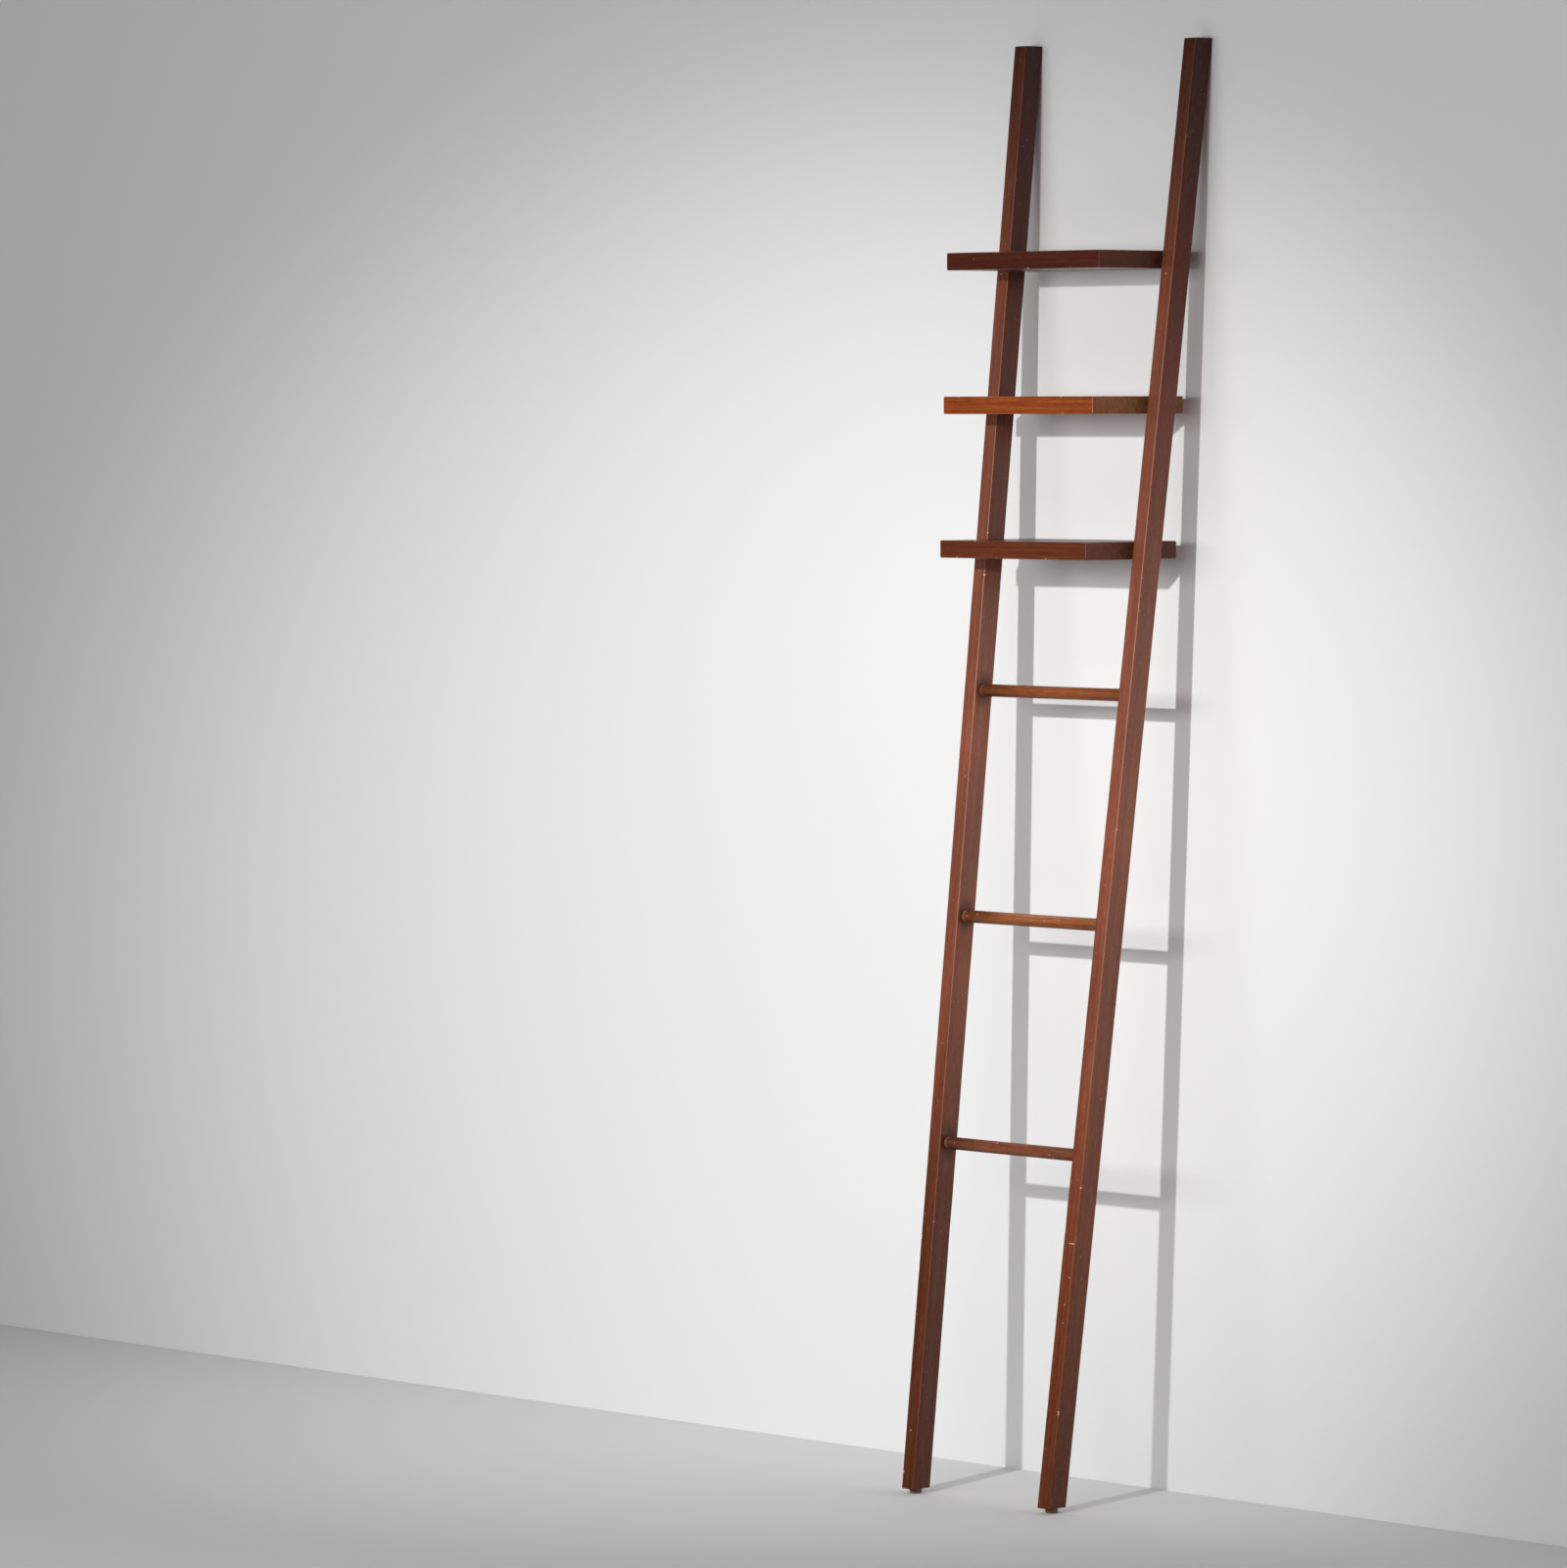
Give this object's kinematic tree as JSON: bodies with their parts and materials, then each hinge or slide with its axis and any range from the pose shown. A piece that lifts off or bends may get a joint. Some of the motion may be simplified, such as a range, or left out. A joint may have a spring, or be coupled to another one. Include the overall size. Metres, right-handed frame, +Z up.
{
  "type": "library ladder",
  "caption": "Tall wooden library ladder that leans on a wall, with splayed stiles, turned rungs below, deep shelves above and a small plastic glide under each foot.",
  "frame": {"origin": "on the floor, midway between the stiles and midway between the front of the feet and the wall", "axes": "+X to the right seen from the front, +Y towards the wall, +Z up; the ladder is climbed from -Y"},
  "size_m": [0.3984, 0.3248, 2.275],
  "materials": {
    "stile_wood": "satin lacquer on red-brown stained hardwood, grain along the stile",
    "rung_wood": "satin lacquer on lighter orange-brown turned hardwood",
    "shelf_wood": "satin lacquer on red-brown stained hardwood, grain along the shelf",
    "dowel_beech": "bare turned beech, hidden",
    "glide_plastic": "brown moulded plastic",
    "nail_steel": "bright drawn steel, hidden"
  },
  "bodies": {
    "root": {"left_stile": "stile_wood", "right_stile": "stile_wood", "lower_rung": "rung_wood", "middle_rung": "rung_wood", "upper_rung": "rung_wood", "lower_shelf": "shelf_wood", "middle_shelf": "shelf_wood", "upper_shelf": "shelf_wood", "lower_shelf_dowels": "dowel_beech", "middle_shelf_dowels": "dowel_beech", "upper_shelf_dowels": "dowel_beech", "left_glide": "glide_plastic", "right_glide": "glide_plastic", "left_glide_nail": "nail_steel", "right_glide_nail": "nail_steel"}
  },
  "joints": []
}
